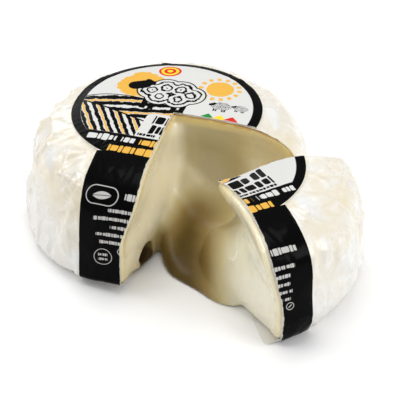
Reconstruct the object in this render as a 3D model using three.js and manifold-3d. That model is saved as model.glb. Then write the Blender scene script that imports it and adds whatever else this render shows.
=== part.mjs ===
// A soft, buttery sheep's milk cheese, cut and pulled open, in millimetres with +Z up.
//
// The wheel is round, with a low domed crown and sides that swell towards the table. A quarter has been
// cut out of it, turned and drawn towards the front, and the runny paste still joins the two: it has slumped
// out of the cut faces and lies between them in a low mound. The rind stands over the hollows that the
// paste left, so the tips droop. A thin film wraps the rind, and over it lies a printed label, a round face
// with a strip that hangs down the side. The knife went through film and label too, so each is in two pieces.
//
// The origin is the wheel's own axis at table level.

import * as THREE from "three";
import { mergeVertices } from "three/addons/utils/BufferGeometryUtils.js";
import Module from "manifold-3d";

const wasm = await Module();
wasm.setup();

const rad = THREE.MathUtils.degToRad;
const smooth = THREE.MathUtils.smoothstep;
const bell = (distance, width) => Math.exp(-((distance / width) ** 2));

// The wheel as it stands and the quarter cut from it, which has slumped lower and bulges higher up.
// Radius and height are those of the rind, under the film. The cuts are directions seen from above, at
// the crown and at the foot, because the faces no longer stand quite upright.
const WHEEL = {
  radius: 74.4,
  height: 63.4,
  widestLevel: 4.3,
  baseRadius: 66.4,
  taper: 0.118, // how far the side leans in by the crown
  fullness: { share: 0.045, bearing: rad(150) }, // the back left shoulder stands out by this share
  tip: new THREE.Vector2(2.1, 1.7), // where the two cuts meet
  tipLean: 0, // how far the paste at the tip moves to one side of straight out
  cutLeft: { crown: rad(-105.6), foot: rad(-111.1) },
  cutRight: { crown: rad(-20.5), foot: rad(-22.9) },
  droop: { drop: 4.4, reach: 60 }, // how far the tip has sunk, and over what distance the rind bends
  curl: { height: 3, inwards: 2.2, bearing: rad(-111), spread: 0.35 }, // how the foot's corner has curled up
};
const QUARTER = {
  radius: 71.8,
  height: 57.5,
  widestLevel: 15,
  baseRadius: 64.2,
  taper: 0.03,
  fullness: { share: 0, bearing: 0 },
  tip: WHEEL.tip,
  tipLean: rad(20),
  cutLeft: { crown: rad(-114.8), foot: rad(-110.5) },
  cutRight: { crown: rad(-28.5), foot: rad(-33) },
  droop: { drop: 9.6, reach: 25 },
  curl: { height: 0, inwards: 0, bearing: 0, spread: 1 },
};
const CROWN_POWER = 7;
const SHOULDER_POWER = 3.2;

// The quarter's new place
const QUARTER_TURN = rad(41.5);
const QUARTER_TIP = new THREE.Vector2(22.5, -43.2);

// Wrapping: clearances and thicknesses, outwards from the rind
const FILM = { inner: 0.3, outer: 0.6 };
const LABEL = { inner: 0.9, outer: 1.2 };
const HEM_LEVEL = 0.3; // no wrapping comes nearer to the table
const FACE_CENTRE = new THREE.Vector2(-1.3, 6.3); // the label's round face
const FACE_RADIUS = 48.6;
const STRIP_DIRECTION = rad(-110.2);
const STRIP_HALF_WIDTH = 20.9;

// Mesh fineness
const DEGREES_PER_STEP = 5.9;
const SKIN_ROWS = 18; // from the crown's centre to the base's rim
const FILM_ROWS = 17; // the film is tucked under and ends one row above the table
const LABEL_ROWS = 16;
const FACE_COLUMNS = 14;

// The section from the crown's centre over the shoulder and the widest level to the base's rim, with its
// steps measured by their length and by how far they turn, so that rows of the mesh gather where it curves
const TURN_WEIGHT = 30; // millimetres that a turn of one radian counts as

function sectionCurve({ radius, height, widestLevel, baseRadius, taper }) {
  const points = [];
  const rise = height - widestLevel;
  const steps = 160;
  const tuckSteps = 20;
  for (let i = 0; i <= steps; i++) {
    const turn = (Math.PI / 2) * (1 - i / steps);
    const share = Math.sin(turn) ** (2 / CROWN_POWER);
    const reach = Math.max(Math.cos(turn), 0) ** (2 / SHOULDER_POWER) * (1 - taper * share);
    points.push(new THREE.Vector2(i === 0 ? 0 : radius * reach, widestLevel + rise * share));
  }
  for (let i = 1; i <= tuckSteps; i++) {
    const turn = (Math.PI / 2) * (i / tuckSteps);
    const r = radius - (radius - baseRadius) * (1 - Math.cos(turn));
    points.push(new THREE.Vector2(r, widestLevel * (1 - Math.sin(turn))));
  }
  const measure = points.reduce((sum, p, i) => {
    if (i === 0) return [0];
    const step = p.clone().sub(points[i - 1]);
    const before = i > 1 ? points[i - 1].clone().sub(points[i - 2]) : step;
    sum.push(sum[i - 1] + step.length() + TURN_WEIGHT * step.angleTo(before));
    return sum;
  }, []);
  return { points, measure };
}

// The point and outward normal at a share of the section
function sectionAt({ points, measure }, share) {
  const wanted = share * measure.at(-1);
  let i = measure.findIndex((value) => value >= wanted);
  i = Math.max(1, i < 0 ? points.length - 1 : i);
  const fraction = (wanted - measure[i - 1]) / (measure[i] - measure[i - 1]);
  const point = points[i - 1].clone().lerp(points[i], fraction);
  const along = points[i].clone().sub(points[i - 1]).normalize();
  return { point, normal: share === 0 ? new THREE.Vector2(0, 1) : new THREE.Vector2(-along.y, along.x) };
}

// How deep a point of the section lies under the rind
function depthUnderRind({ points }, r, z) {
  const here = new THREE.Vector2(r, z);
  return Math.min(...points.map((p) => p.distanceTo(here)));
}

// A point of the cheese by its bearing, its distance from the axis and its height. Distances count from
// the cut's tip near the middle and from the axis at the rim, and the rind has sunk towards the tip. The
// foot has curled up and in where it is no longer held, in the corner beside the left cut.
function place({ radius, height, fullness, tip, droop, curl }, bearing, r, z) {
  const facing = Math.max(0, Math.cos(bearing - fullness.bearing));
  const beside = bell(2 * Math.sin((bearing - curl.bearing) / 2), curl.spread);
  const curled = beside * smooth(r, 48, 70) * (1 - smooth(z, 0, 30));
  const reach = r * (1 + fullness.share * facing ** 2 * (z / height)) - curl.inwards * curled;
  const inwards = Math.max(0, 1 - r / radius);
  const x = tip.x * inwards + reach * Math.cos(bearing);
  const y = tip.y * inwards + reach * Math.sin(bearing);
  const sunk = droop.drop * bell(Math.hypot(x - tip.x, y - tip.y), droop.reach) * (z / height);
  return new THREE.Vector3(x, y, z - sunk + curl.height * curled);
}

// The bearing of a cut at a height: that of the foot low down, and above the middle it turns to the crown's
function cutBearing({ height }, cut, z) {
  return THREE.MathUtils.lerp(cut.foot, cut.crown, smooth(z / height, 0.4, 0.85));
}

// How far the paste stands out of (+) or has sunk into (-) each cut face. r is the distance from the
// cut's tip, z the height and depth the distance under the rind.
const hollow = (depth) => smooth(depth, 4, 13);

const SAG = {
  wheelLeft: (r, z, depth) =>
    hollow(depth) * (-3 * bell(z - 46, 11) * bell(r - 20, 26) + 5.5 * bell(z - 19, 15) * bell(r - 34, 29)) +
    2.8 * bell(z, 9) * smooth(62 - r, 0, 22),
  wheelRight: (r, z, depth) =>
    hollow(depth) * (-5 * bell(z - 38, 15) + 5 * bell(z - 6, 12)) + 4 * bell(z, 7) * smooth(66 - r, 0, 20),
  quarterLeft: (r, z, depth) =>
    hollow(depth) * (-9 * bell(z - 38, 9) * bell(r - 8, 26) + 8 * bell(z - 15, 14) * bell(r - 31, 23)) +
    3 * bell(z, 12) * bell(r - 20, 22) * smooth(depth, 0, 9),
  quarterRight: (r, z, depth) =>
    hollow(depth) * -5 * bell(z - 36, 14) * bell(r, 34) + 6 * bell(z - 5, 11) * smooth(46 - r, 0, 20),
};

// The same along the upright edge where two cut faces meet, into the open cut or out past the tip
const TIP_SAG = {
  wheel: (z, depth) => hollow(depth) * (4 - 2 * bell(z - 44, 10) + 7 * bell(z - 6, 16)) + 3 * bell(z, 8),
  quarter: (z, depth) => hollow(depth) * -8 * bell(z - 37, 11) + 6 * bell(z - 5, 16) * smooth(depth, 0, 9),
};
const TIP_REACH = 17;

// One closed solid of a mesh's vertices and triangles, for cutting and joining
function solidFrom(geometry) {
  geometry.deleteAttribute("normal");
  geometry.deleteAttribute("uv");
  const merged = mergeVertices(geometry, 1e-4);
  return new wasm.Manifold(
    new wasm.Mesh({
      numProp: 3,
      vertProperties: Float32Array.from(merged.attributes.position.array),
      triVerts: Uint32Array.from(merged.index.array),
    }),
  );
}

function geometryFrom(solid) {
  const mesh = solid.getMesh();
  const geometry = new THREE.BufferGeometry();
  geometry.setAttribute("position", new THREE.BufferAttribute(Float32Array.from(mesh.vertProperties), 3));
  geometry.setIndex(new THREE.BufferAttribute(Uint32Array.from(mesh.triVerts), 1));
  geometry.computeVertexNormals();
  return geometry;
}

// A geometry of a list of triangles, each of three points, leaving out those with no area
function geometryOf(triangles) {
  const kept = triangles.filter(([a, b, c]) => new THREE.Triangle(a, b, c).getArea() > 1e-7);
  return new THREE.BufferGeometry().setFromPoints(kept.flat());
}

// Triangles of a grid of points. Seen from outside, columns run to the right and rows run down.
function gridTriangles(columns) {
  const triangles = [];
  for (let i = 0; i + 1 < columns.length; i++)
    for (let j = 0; j + 1 < columns[i].length; j++) {
      const [a, b] = [columns[i][j], columns[i + 1][j]];
      const [c, d] = [columns[i][j + 1], columns[i + 1][j + 1]];
      triangles.push([a, c, d], [a, d, b]);
    }
  return triangles;
}

const turned = (columns) => [...columns].reverse();

const rowShares = (rows) => Array.from({ length: rows + 1 }, (_, j) => j / SKIN_ROWS);

// A grid of points that stand off the rind by a clearance, from one cut round to the other
function skinGrid(form, section, from, to, rows, clearance) {
  const steps = Math.round((to.crown - from.crown) / rad(DEGREES_PER_STEP));
  return Array.from({ length: steps + 1 }, (_, i) =>
    rowShares(rows).map((share) => {
      const { point, normal } = sectionAt(section, share);
      const ends = [from, to].map((cut) => cutBearing(form, cut, point.y));
      const bearing = THREE.MathUtils.lerp(...ends, i / steps);
      const lowest = clearance > 0 ? HEM_LEVEL : 0;
      const z = Math.max(lowest, point.y + normal.y * clearance);
      return place(form, bearing, point.x + normal.x * clearance, z);
    }),
  );
}

// A sector of the cheese between two cuts: rind, two sagging cut faces and a flat base. A face's sag acts
// along its own outward normal, and the tip's sag out between the two. The base is a fan about a centre
// from which its whole outline is in sight.
function cheeseSector(form, from, to, sagFrom, sagTo, tipSag, baseCentre) {
  const section = sectionCurve(form);
  const rind = skinGrid(form, section, from, to, SKIN_ROWS, 0);
  const middle = (from.crown + to.crown) / 2 + Math.PI + form.tipLean;
  const out = new THREE.Vector3(Math.cos(middle), Math.sin(middle), 0);

  const cutFace = (cut, side, sag, edgeColumn) =>
    Array.from({ length: FACE_COLUMNS + 1 }, (_, k) =>
      rowShares(SKIN_ROWS).map((share, j) => {
        if (k === FACE_COLUMNS || j === 0) return edgeColumn[j].clone();
        const edge = sectionAt(section, share).point;
        const t = k / FACE_COLUMNS;
        const r = edge.x * t;
        const z = THREE.MathUtils.lerp(form.height * (1 - share), edge.y, t);
        const depth = depthUnderRind(section, r, z);
        const bearing = cutBearing(form, cut, z);
        const normal = new THREE.Vector3(-Math.sin(bearing) * side, Math.cos(bearing) * side, 0);
        const nearTip = 1 - smooth(r, 0, TIP_REACH);
        return place(form, bearing, r, z)
          .addScaledVector(normal, sag(r, z, depth) * (1 - nearTip))
          .addScaledVector(out, tipSag(z, depth) * nearTip);
      }),
    );
  const first = cutFace(from, -1, sagFrom, rind[0]);
  const last = cutFace(to, 1, sagTo, rind.at(-1));

  const outline = [
    ...rind.map((column) => column.at(-1)),
    ...turned(last).slice(1).map((column) => column.at(-1)),
    ...first.slice(1).map((column) => column.at(-1)),
  ];
  const base = outline.slice(1).map((point, i) => [outline[i], baseCentre, point]);
  const sides = [rind, first, turned(last)].flatMap(gridTriangles);
  return solidFrom(geometryOf([...sides, ...base]));
}

// A thin sheet over the rind between two cuts, from the crown down to a hem above the table
function sheetSector(form, from, to, { inner, outer }, lastRow) {
  const section = sectionCurve(form);
  const outside = skinGrid(form, section, from, to, lastRow, outer);
  const inside = skinGrid(form, section, from, to, lastRow, inner);
  const hem = outside.map((column, i) => [column.at(-1), inside[i].at(-1)]);
  const firstEdge = [inside[0], outside[0]];
  const lastEdge = [outside.at(-1), inside.at(-1)];
  return solidFrom(geometryOf([outside, turned(inside), hem, firstEdge, lastEdge].flatMap(gridTriangles)));
}

// The label's outline seen from above, as a tall prism: the round face with the strip
function labelPrism() {
  const half = Math.asin(STRIP_HALF_WIDTH / FACE_RADIUS);
  const reach = WHEEL.radius * 1.5;
  const shape = new THREE.Shape();
  shape.absarc(0, 0, FACE_RADIUS, half, 2 * Math.PI - half, false);
  shape.lineTo(reach, -STRIP_HALF_WIDTH);
  shape.lineTo(reach, STRIP_HALF_WIDTH);
  const depth = 2 * WHEEL.height;
  const prism = new THREE.ExtrudeGeometry(shape, { depth, bevelEnabled: false, curveSegments: 56 });
  prism.rotateZ(STRIP_DIRECTION);
  prism.translate(FACE_CENTRE.x, FACE_CENTRE.y, -WHEEL.height / 2);
  return solidFrom(prism);
}

// The mound of paste between wheel and quarter, seen from above: along its open front edge, and back
// under the quarter and the wheel
const MOUND_OUTLINE = new THREE.CatmullRomCurve3(
  [
    [-11.5, -36.5], [-9.6, -43.5], [-6.4, -50.5], [-1.2, -57.5], [4.6, -63.3], [10.4, -69], [15.6, -74.8],
    [20.8, -79.4], [26.4, -81.9], [31.3, -80.6], [37, -71], [48, -62], [50, -44], [53, -31], [46, -15],
    [28, -4], [6, 8], [-14, -4], [-15, -26],
  ].map(([x, y]) => new THREE.Vector3(x, y, 0)),
  true,
);
const MOUND_CENTRE = new THREE.Vector3(16, -42, 0);
const MOUND_FLOOR = 4.5; // thickness in the valley
const ROPE = 8.5; // the width over which its edge rounds down to the table
const SKIRT = { height: 17, reach: 13 }; // what climbs the wheel's left face
const BANK = { height: 15, reach: 10 }; // what lies against its right face
// The belly on the quarter's left face
const BELLY = { along: 15, near: 21, far: 27, proud: 13.8, level: 6, height: 22 };

// Distances of a point seen from above: left of an upright plane through a tip, and along it
function fromPlane(point, tip, bearing) {
  const [x, y] = [point.x - tip.x, point.y - tip.y];
  const [c, s] = [Math.cos(bearing), Math.sin(bearing)];
  return { left: y * c - x * s, along: x * c + y * s };
}

// The height of the mound over a point: a floor with the skirt and the bank, or the belly where it is
// higher. The belly is a lopsided ellipsoid whose end towards the rind is blunter, and it rises a little
// under the quarter before it ends there.
function moundHeight(point) {
  const offLeft = Math.max(0, fromPlane(point, WHEEL.tip, WHEEL.cutLeft.foot).left);
  const offRight = Math.max(0, -fromPlane(point, WHEEL.tip, WHEEL.cutRight.foot).left);
  const skirt = SKIRT.height * bell(offLeft, SKIRT.reach);
  const bank = BANK.height * bell(offRight, BANK.reach);
  const low = MOUND_FLOOR + skirt + bank;
  const face = fromPlane(point, QUARTER_TIP, QUARTER.cutLeft.foot + QUARTER_TURN);
  const out = -face.left;
  const along = face.along - BELLY.along;
  const offMiddle = along < 0 ? (along / BELLY.near) ** 2 : (along / BELLY.far) ** 4;
  const share = Math.max(0, 1 - Math.max(0, out / BELLY.proud) ** 2.4 - offMiddle);
  const dome = BELLY.level * smooth(share, 0, 0.05) + BELLY.height * share ** 0.6;
  const belly = dome * smooth(out, -26, -10) + 0.35 * Math.max(0, Math.min(8, -out)) * Math.sign(share);
  return (low ** 5 + belly ** 5) ** 0.2;
}

function moundSolid() {
  const [around, across] = [64, 16];
  const columns = Array.from({ length: around + 1 }, (_, i) => {
    const edge = MOUND_OUTLINE.getPoint((i % around) / around);
    return Array.from({ length: across + 1 }, (_, j) => {
      const point = MOUND_CENTRE.clone().lerp(edge, Math.sin((Math.PI / 2) * (j / across)));
      const rim = Math.max(0, 1 - point.distanceTo(edge) / ROPE);
      point.z = moundHeight(point) * Math.sqrt(Math.max(0, 1 - rim ** 2));
      return point;
    });
  });
  const top = gridTriangles(columns);
  const rim = columns.map((column) => column.at(-1));
  const base = rim.slice(1).map((point, i) => [rim[i], MOUND_CENTRE, point]);
  return solidFrom(geometryOf([...top, ...base]));
}

// The small cave that the paste has left at the foot of the wheel's left face, beside the mound's end
const CAVE = { along: 47.8, out: 1, level: 7.8, halfWidth: 5.8, halfHeight: 5.6, depth: 8 };

function caveSolid() {
  const cave = new THREE.SphereGeometry(1, 20, 14);
  cave.rotateX(Math.PI / 2);
  cave.scale(CAVE.halfWidth, CAVE.depth, CAVE.halfHeight);
  cave.translate(CAVE.along, CAVE.out, CAVE.level);
  cave.rotateZ(WHEEL.cutLeft.foot);
  return solidFrom(cave);
}

// The cheese: wheel, quarter and mound in one piece. The wheel's sector runs from the right cut round the
// back to the left one, and the quarter's from its left cut to its right one.
const wholeTurn = (cut) => ({ crown: cut.crown + 2 * Math.PI, foot: cut.foot + 2 * Math.PI });
const wheelSpan = [WHEEL.cutRight, wholeTurn(WHEEL.cutLeft)];
const quarterSpan = [QUARTER.cutLeft, QUARTER.cutRight];

const intoTheCut = new THREE.Vector3(1, 0, 0).applyAxisAngle(
  new THREE.Vector3(0, 0, 1),
  (WHEEL.cutLeft.crown + WHEEL.cutRight.crown) / 2,
);
const wheelMiddle = intoTheCut.clone().multiplyScalar(-12);
const quarterMiddle = intoTheCut.clone().multiplyScalar(40);

const wheel = cheeseSector(WHEEL, ...wheelSpan, SAG.wheelRight, SAG.wheelLeft, TIP_SAG.wheel, wheelMiddle);
const quarterInWheel = cheeseSector(
  QUARTER,
  ...quarterSpan,
  SAG.quarterLeft,
  SAG.quarterRight,
  TIP_SAG.quarter,
  quarterMiddle,
);
const quarter = quarterInWheel
  .translate([-QUARTER.tip.x, -QUARTER.tip.y, 0])
  .rotate([0, 0, THREE.MathUtils.radToDeg(QUARTER_TURN)])
  .translate([QUARTER_TIP.x, QUARTER_TIP.y, 0]);
const cheese = wheel.subtract(caveSolid()).add(quarter).add(moundSolid());

// The wrapping of the wheel and of the quarter
const label = labelPrism();
const wheelFilm = sheetSector(WHEEL, ...wheelSpan, FILM, FILM_ROWS);
const wheelLabel = sheetSector(WHEEL, ...wheelSpan, LABEL, LABEL_ROWS).intersect(label);
const quarterFilm = sheetSector(QUARTER, ...quarterSpan, FILM, FILM_ROWS);
const quarterLabel = sheetSector(QUARTER, ...quarterSpan, LABEL, LABEL_ROWS).intersect(label);

// Colours of paste, film and printed paper
const paste = new THREE.MeshStandardMaterial({ color: 0xd8cda4, roughness: 0.35, metalness: 0 });
const film = new THREE.MeshStandardMaterial({ color: 0xf4f1e8, roughness: 0.4, metalness: 0 });
const print = new THREE.MeshStandardMaterial({ color: 0x1a1918, roughness: 0.35, metalness: 0 });

function node(name, solid, material) {
  const mesh = new THREE.Mesh(geometryFrom(solid), material);
  mesh.name = name;
  return mesh;
}

const part = new THREE.Group();
part.add(node("cheese", cheese, paste));
part.add(node("wheel_film", wheelFilm, film));
part.add(node("wheel_label", wheelLabel, print));

const wrapping = new THREE.Group();
wrapping.position.set(-QUARTER.tip.x, -QUARTER.tip.y, 0);
wrapping.add(node("quarter_film", quarterFilm, film));
wrapping.add(node("quarter_label", quarterLabel, print));
const drawnQuarter = new THREE.Group();
drawnQuarter.position.set(QUARTER_TIP.x, QUARTER_TIP.y, 0);
drawnQuarter.rotation.z = QUARTER_TURN;
drawnQuarter.add(wrapping);
part.add(drawnQuarter);

export default part;
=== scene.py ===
# %% [markdown]
# # A soft sheep's milk cheese, cut open and drawn apart
#
# The real thing is a small wheel of buttery cheese in a thin, crinkled film with a round printed label. A
# quarter was cut out, turned and pulled forward, and the runny paste stretched between the two and settled
# in a low mound. Each visible part becomes one object here: the paste, two pieces of film and two pieces of
# label. Most shapes are surfaces of revolution that have been pushed about, so they are worked out with
# numpy as whole grids of points, in millimetres, and turned to metres only when the mesh is made.

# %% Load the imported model
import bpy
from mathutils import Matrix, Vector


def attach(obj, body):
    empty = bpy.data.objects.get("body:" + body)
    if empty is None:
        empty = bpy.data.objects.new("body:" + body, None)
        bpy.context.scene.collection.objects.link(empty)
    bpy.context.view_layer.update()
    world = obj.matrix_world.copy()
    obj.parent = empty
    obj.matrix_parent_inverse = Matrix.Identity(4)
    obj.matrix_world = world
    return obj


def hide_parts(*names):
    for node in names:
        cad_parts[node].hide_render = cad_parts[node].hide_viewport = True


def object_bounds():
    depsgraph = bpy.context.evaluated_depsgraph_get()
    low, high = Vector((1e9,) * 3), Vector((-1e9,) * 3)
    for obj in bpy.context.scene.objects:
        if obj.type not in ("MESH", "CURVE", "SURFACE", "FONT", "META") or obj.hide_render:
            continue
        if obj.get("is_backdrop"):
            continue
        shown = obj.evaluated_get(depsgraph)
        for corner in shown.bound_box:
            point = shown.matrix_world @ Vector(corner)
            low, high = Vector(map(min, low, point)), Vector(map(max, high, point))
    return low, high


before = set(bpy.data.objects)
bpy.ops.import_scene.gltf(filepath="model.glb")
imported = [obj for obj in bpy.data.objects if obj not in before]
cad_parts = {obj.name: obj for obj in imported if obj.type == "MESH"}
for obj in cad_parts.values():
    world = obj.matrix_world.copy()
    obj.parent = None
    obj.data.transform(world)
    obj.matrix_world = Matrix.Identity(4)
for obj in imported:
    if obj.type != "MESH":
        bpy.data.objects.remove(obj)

import inspect
import itertools
from functools import reduce
from types import SimpleNamespace

import bmesh
import bpy
import numpy as np
from mathutils import Matrix, Vector

cad_low, cad_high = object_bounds()
MM = 0.001
print("CAD box in mm:", [round(value / MM, 1) for value in (*cad_low, *cad_high)])

# %% [markdown]
# ## The camera
#
# The photo was taken from the front and about 36 degrees above the table with a long lens. The place and
# the aim were fitted to the outline of the wheel, so the render can be laid over the photo. A camera looks
# along its own -Z, which is why its matrix is put together from three directions: right, up and back.

# %% Make the camera
CAMERA_AT = np.array([-0.16, -738.3, 537.6])
CAMERA_AIM = np.array([14.22, -2.97, 8.5])
CAMERA_ROLL = -0.022
CAMERA_LENS = 157.0


def unit(v):
    """The vector divided by its own length, along the last axis."""
    return v / np.linalg.norm(v, axis=-1, keepdims=True)


ahead = unit(CAMERA_AIM - CAMERA_AT)
level_right = unit(np.cross(ahead, (0, 0, 1)))
level_up = np.cross(level_right, ahead)
cam_right = level_right * np.cos(CAMERA_ROLL) + level_up * np.sin(CAMERA_ROLL)
cam_up = np.cross(cam_right, ahead)
camera = bpy.data.objects.new("camera", bpy.data.cameras.new("camera"))
camera.data.sensor_width = 36
camera.data.lens = CAMERA_LENS
camera.data.clip_end = 20
camera.matrix_world = Matrix([(*row, at * MM) for row, at in zip(np.array([cam_right, cam_up, -ahead]).T, CAMERA_AT)]
                             + [(0, 0, 0, 1)])
bpy.context.scene.collection.objects.link(camera)
bpy.context.scene.camera = camera
print("camera looks down at", round(float(np.degrees(np.arcsin(-ahead[2]))), 1), "degrees")

# %% [markdown]
# ## Two bodies of revolution
#
# Wheel and quarter have nearly the same section: a low domed crown, a rounded shoulder, a side that swells
# towards the table and a small tuck at the foot. A superellipse draws that with two powers, one for how
# flat the crown is and one for how square the shoulder is. The numbers are those of the CAD model.

# %% The wheel and the quarter in millimetres
rad = np.radians
WHEEL = SimpleNamespace(radius=74.4, height=63.4, widest=4.3, base=66.4, taper=0.118, fuller=0.045,
                        fuller_bearing=rad(150), tip=(2.1, 1.7), tip_lean=0.0, drop=4.4, drop_reach=60.0,
                        left=(rad(-105.6), rad(-111.1)), right=(rad(-20.5), rad(-22.9)), curl=(3.0, 2.2))
QUARTER = SimpleNamespace(radius=71.8, height=57.5, widest=15.0, base=64.2, taper=0.03, fuller=0.0,
                          fuller_bearing=0.0, tip=(2.1, 1.7), tip_lean=rad(20), drop=9.6, drop_reach=25.0,
                          left=(rad(-114.8), rad(-110.5)), right=(rad(-28.5), rad(-33)), curl=(0.0, 0.0))
CROWN_POWER, SHOULDER_POWER = 7, 3.2
MOST_AT_ONCE = 20000     # points that are measured in one go, to save memory
QUARTER_TURN, QUARTER_TIP = rad(41.5), np.array([22.5, -43.2])
WHOLE_TURN = 2 * np.pi


def smooth(x, low, high):
    """0 below low, 1 above high, and an S-shaped step between them."""
    t = np.clip((x - low) / (high - low), 0, 1)
    return t * t * (3 - 2 * t)


def bell(x, width):
    """A bell: 1 at the middle, about a third at the width, then quickly 0."""
    return np.exp(-(x / width) ** 2)


def lerp(a, b, t):
    """From a to b by the share t."""
    return a + (b - a) * t


def section(form, rows, hem=0.0):
    """The half outline from the crown's middle down to the base's rim and a little way under it, as rows of
    distance from the axis, height, outward normal and length along the outline. Radius is the cosine of a
    turning angle to a power, height its sine to a power, and the tuck at the foot a quarter of an ellipse.
    Rows gather where the outline turns."""
    turn = np.pi / 2 * (1 - np.linspace(0, 1, 500) ** 1.5)
    up = np.sin(turn) ** (2 / CROWN_POWER)
    r = form.radius * np.maximum(np.cos(turn), 0) ** (2 / SHOULDER_POWER) * (1 - form.taper * up)
    z = form.widest + (form.height - form.widest) * up
    tuck = np.linspace(0, np.pi / 2, 60)[1:]
    r = np.r_[r, form.radius - (form.radius - form.base) * (1 - np.cos(tuck)), form.base - np.arange(1, hem)]
    z = np.r_[z, form.widest * (1 - np.sin(tuck)), np.zeros(max(0, int(np.ceil(hem)) - 1))]
    r[0] = 0
    step = np.hypot(np.diff(r), np.diff(z))
    heading = np.unwrap(np.arctan2(np.diff(z), np.diff(r)))
    length = np.r_[0, np.cumsum(step)]
    measure = length + 30 * np.abs(np.r_[heading[0], heading] - heading[0])
    at = np.linspace(0, measure[-1], rows)
    r, z, length = (np.interp(at, measure, values) for values in (r, z, length))
    along = unit(np.stack([np.gradient(r), np.gradient(z)], -1))
    along[0] = (1, 0)
    return SimpleNamespace(r=r, z=z, nr=-along[:, 1], nz=along[:, 0], length=length)


def curled(bearing, r, z):
    """How much the foot has curled, from 0 to 1: most in the corner beside the wheel's left cut."""
    beside = bell(2 * np.sin((bearing - rad(-111)) / 2), 0.35)
    return beside * smooth(r, 48, 70) * (1 - smooth(z, 0, 30))


def place(form, bearing, r, z):
    """The point at a bearing, a distance and a height: the full side stands out a little, distances near the
    middle count from the cut's tip, the foot's corner has curled up and in, and the rind has sunk towards the
    tip by a bell-shaped amount."""
    facing = np.maximum(0, np.cos(bearing - form.fuller_bearing))
    curl = curled(bearing, r, z)
    reach = r * (1 + form.fuller * facing ** 2 * z / form.height) - form.curl[1] * curl
    inwards = np.maximum(0, 1 - r / form.radius)
    x = form.tip[0] * inwards + reach * np.cos(bearing)
    y = form.tip[1] * inwards + reach * np.sin(bearing)
    sunk = form.drop * bell(np.hypot(x - form.tip[0], y - form.tip[1]), form.drop_reach) * z / form.height
    return np.stack([x, y, z - sunk + form.curl[0] * curl], -1)


def locate(form, points):
    """The inverse of place, found by going round its formulas a few times: bearing, distance and height.
    The curl is small and taken off last."""
    x, y, low = points[..., 0], points[..., 1], points[..., 2]
    unsunk = 1 - form.drop * bell(np.hypot(x - form.tip[0], y - form.tip[1]), form.drop_reach) / form.height
    z, r = low / unsunk, np.hypot(x, y)
    for _ in range(6):
        inwards = np.maximum(0, 1 - r / form.radius)
        across, along = x - form.tip[0] * inwards, y - form.tip[1] * inwards
        bearing = np.arctan2(along, across)
        facing = np.maximum(0, np.cos(bearing - form.fuller_bearing))
        r = np.hypot(across, along) / (1 + form.fuller * facing ** 2 * z / form.height)
    curl = curled(bearing, r, z)
    return bearing, r + form.curl[1] * curl, np.maximum(0, z - form.curl[0] * curl)


def cut_bearing(form, cut, z):
    """A cut's bearing at a height: one at the foot, another at the crown, and a smooth step between them."""
    crown, foot = cut
    return lerp(foot, crown, smooth(z / form.height, 0.4, 0.85))


def moved(points, back=False):
    """Points of the quarter as cut, turned about its tip and drawn to its place, or the other way round."""
    start, end, turn = QUARTER.tip, QUARTER_TIP, QUARTER_TURN
    if back:
        start, end, turn = end, start, -turn
    c, s = np.cos(turn), np.sin(turn)
    return np.concatenate([(points[..., :2] - start) @ np.array([[c, s], [-s, c]]) + end, points[..., 2:]], -1)


def depth_under_rind(form, r, z):
    """How far a point of the section lies from the rind's line: the least distance to its points."""
    line = section(form, 240)
    r, z = np.ravel(r)[:, None], np.ravel(z)[:, None]
    batches = np.array_split(np.arange(len(r)), 1 + len(r) // MOST_AT_ONCE)
    return np.concatenate([np.hypot(r[b] - line.r, z[b] - line.z).min(1) for b in batches])


wheel_line = section(WHEEL, 19)
print("section of the wheel, r and z in mm:", np.round(wheel_line.r[::6], 1), np.round(wheel_line.z[::6], 1))

# %% [markdown]
# ## From grids to a mesh
#
# A grid of points becomes quads by simple index arithmetic, and several grids whose borders have the same
# points can be sewn into one closed mesh by merging the vertices that lie on each other. Everything else in
# this file calls these few helpers.

# %% Helpers that turn grids into objects
SAME_PLACE, NO_LENGTH = 2e-6, 1e-7   # in metres: vertices this near are merged, edges this short go


def quads_of(columns, rows, first=0):
    """Four vertex numbers for each cell of a grid, going round it as seen from outside."""
    a = first + (np.arange(columns - 1)[:, None] * rows + np.arange(rows - 1)).ravel()
    return np.stack([a, a + 1, a + rows + 1, a + rows], -1)


def object_of_grids(name, grids, uvs=None):
    """One object of several grids, given in millimetres with columns to the right and rows down as seen from
    outside. Each uv layer is a list with a grid of number pairs for every grid of points. Vertices on the
    same place are merged, and faces that this leaves with no area go."""
    points, faces, first = [], [], 0
    for grid in grids:
        points.append(grid.reshape(-1, 3))
        faces.append(quads_of(*grid.shape[:2], first))
        first += grid.shape[0] * grid.shape[1]
    points, faces = np.concatenate(points), np.concatenate(faces)
    mesh = bpy.data.meshes.new(name)
    mesh.from_pydata(points * MM, [], faces)
    for layer, values in (uvs or {}).items():
        flat = np.concatenate([value.reshape(-1, 2) for value in values])[faces.ravel()]
        mesh.uv_layers.new(name=layer).data.foreach_set("uv", flat.astype(np.float32).ravel())
    sewn = bmesh.new()
    sewn.from_mesh(mesh)
    bmesh.ops.remove_doubles(sewn, verts=sewn.verts, dist=SAME_PLACE)
    bmesh.ops.dissolve_degenerate(sewn, edges=sewn.edges, dist=NO_LENGTH)
    sewn.to_mesh(mesh)
    sewn.free()
    made = bpy.data.objects.new(name, mesh)
    bpy.context.scene.collection.objects.link(made)
    return made


def settle(piece):
    """Keeps what the modifiers make of a piece as its own mesh, and drops the modifiers."""
    graph = bpy.context.evaluated_depsgraph_get()
    made = bpy.data.meshes.new_from_object(piece.evaluated_get(graph))
    piece.modifiers.clear()
    old, piece.data = piece.data, made
    bpy.data.meshes.remove(old)
    made.name = piece.name


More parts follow.
